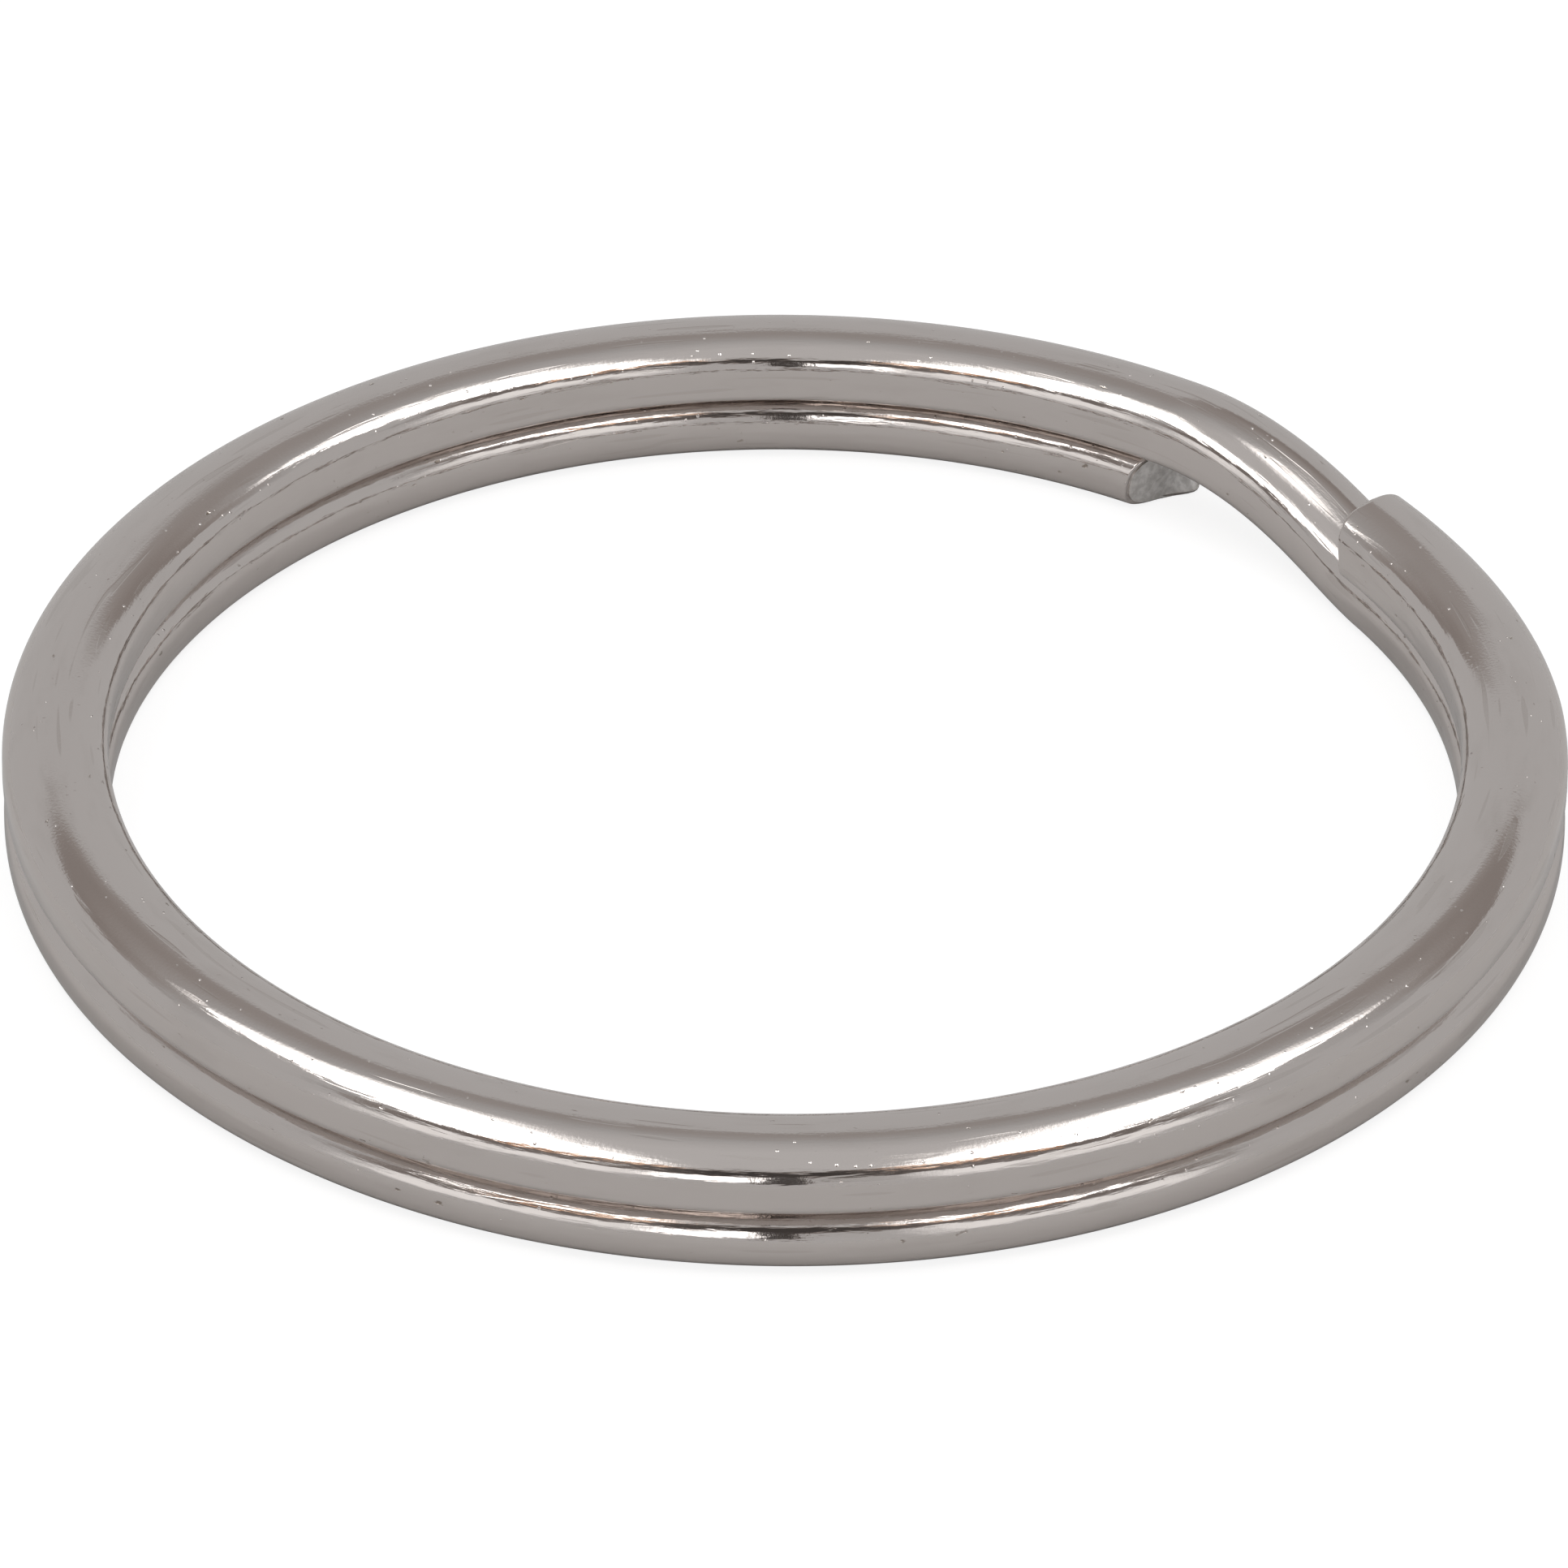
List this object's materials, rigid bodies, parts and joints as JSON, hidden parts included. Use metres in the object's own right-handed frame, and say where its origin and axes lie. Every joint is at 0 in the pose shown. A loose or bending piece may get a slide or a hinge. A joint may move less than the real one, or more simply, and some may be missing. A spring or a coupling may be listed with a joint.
{
  "type": "split key ring",
  "caption": "Split key ring of flattened nickel-plated steel wire wound almost twice round, with a crossover bend between its free ends, so a key can be threaded between the turns.",
  "frame": {"origin": "on the ring's axis, in the plane it rests on", "axes": "+Z along the ring axis, up from the face it lies on; the crossover bend and both free ends are in the +X +Y quarter"},
  "size_m": [0.03, 0.03, 0.0027],
  "materials": {
    "nickel_plate": "bright nickel plate, fine drawing lines, light pits and scuffs"
  },
  "bodies": {
    "ring": {"upper_turn": "nickel_plate", "crossover_bend": "nickel_plate", "lower_turn": "nickel_plate"},
    "upper_flex_5": {"upper_flex_5": "nickel_plate"},
    "upper_flex_4": {"upper_flex_4": "nickel_plate"},
    "upper_flex_3": {"upper_flex_3": "nickel_plate"},
    "upper_flex_2": {"upper_flex_2": "nickel_plate"},
    "upper_flex_1": {"upper_flex_1": "nickel_plate"},
    "upper_end": {"upper_end": "nickel_plate"},
    "lower_flex_5": {"lower_flex_5": "nickel_plate"},
    "lower_flex_4": {"lower_flex_4": "nickel_plate"},
    "lower_flex_3": {"lower_flex_3": "nickel_plate"},
    "lower_flex_2": {"lower_flex_2": "nickel_plate"},
    "lower_flex_1": {"lower_flex_1": "nickel_plate"},
    "lower_end": {"lower_end": "nickel_plate"}
  },
  "joints": [
    {"name": "upper_lift_1", "type": "hinge", "parent": "ring", "child": "upper_flex_5", "pos_m": [-0.01174, -0.00762, 0.00196], "axis": [0.5446, -0.8387, 0], "range_deg": [0, 1.78], "stiffness_Nm_per_rad": 0.3},
    {"name": "upper_lift_2", "type": "hinge", "parent": "upper_flex_5", "child": "upper_flex_4", "pos_m": [-0.00636, -0.01247, 0.00196], "axis": [0.7456, -0.6664, 0], "range_deg": [0, 1.72]},
    {"name": "upper_lift_3", "type": "hinge", "parent": "upper_flex_4", "child": "upper_flex_3", "pos_m": [0.00073, -0.01398, 0.00196], "axis": [0.8946, -0.4469, 0], "range_deg": [0, 1.54]},
    {"name": "upper_lift_4", "type": "hinge", "parent": "upper_flex_3", "child": "upper_flex_2", "pos_m": [0.00762, -0.01174, 0.00196], "axis": [0.9809, -0.1944, 0], "range_deg": [0, 1.26]},
    {"name": "upper_lift_5", "type": "hinge", "parent": "upper_flex_2", "child": "upper_flex_1", "pos_m": [0.01247, -0.00636, 0.00196], "axis": [0.9971, 0.0761, 0], "range_deg": [0, 0.889]},
    {"name": "upper_lift_6", "type": "hinge", "parent": "upper_flex_1", "child": "upper_end", "pos_m": [0.01398, 0.00073, 0.00196], "axis": [0.934, 0.3574, 0], "range_deg": [0, 0.461]},
    {"name": "lower_drop_1", "type": "hinge", "parent": "ring", "child": "lower_flex_5", "pos_m": [-0.00773, -0.01167, 0.00064], "axis": [-0.8339, 0.5519, 0], "range_deg": [0, 1.75], "stiffness_Nm_per_rad": 0.3},
    {"name": "lower_drop_2", "type": "hinge", "parent": "lower_flex_5", "child": "lower_flex_4", "pos_m": [-0.01253, -0.00625, 0.00064], "axis": [-0.6626, 0.749, 0], "range_deg": [0, 1.69]},
    {"name": "lower_drop_3", "type": "hinge", "parent": "lower_flex_4", "child": "lower_flex_3", "pos_m": [-0.01397, 0.00085, 0.00064], "axis": [-0.4462, 0.8949, 0], "range_deg": [0, 1.52]},
    {"name": "lower_drop_4", "type": "hinge", "parent": "lower_flex_3", "child": "lower_flex_2", "pos_m": [-0.01167, 0.00773, 0.00064], "axis": [-0.1994, 0.9799, 0], "range_deg": [0, 1.24]},
    {"name": "lower_drop_5", "type": "hinge", "parent": "lower_flex_2", "child": "lower_flex_1", "pos_m": [-0.00625, 0.01253, 0.00064], "axis": [0.0611, 0.9981, 0], "range_deg": [0, 0.877]},
    {"name": "lower_drop_6", "type": "hinge", "parent": "lower_flex_1", "child": "lower_end", "pos_m": [0.00085, 0.01397, 0.00064], "axis": [0.3173, 0.9483, 0], "range_deg": [0, 0.454]}
  ],
  "couplings": [
    {"joint": "upper_lift_2", "follows": "upper_lift_1", "ratio": 0.9659},
    {"joint": "upper_lift_3", "follows": "upper_lift_1", "ratio": 0.8661},
    {"joint": "upper_lift_4", "follows": "upper_lift_1", "ratio": 0.7072},
    {"joint": "upper_lift_5", "follows": "upper_lift_1", "ratio": 0.5001},
    {"joint": "upper_lift_6", "follows": "upper_lift_1", "ratio": 0.2592},
    {"joint": "lower_drop_2", "follows": "lower_drop_1", "ratio": 0.9659},
    {"joint": "lower_drop_3", "follows": "lower_drop_1", "ratio": 0.866},
    {"joint": "lower_drop_4", "follows": "lower_drop_1", "ratio": 0.7071},
    {"joint": "lower_drop_5", "follows": "lower_drop_1", "ratio": 0.5},
    {"joint": "lower_drop_6", "follows": "lower_drop_1", "ratio": 0.2588}
  ]
}
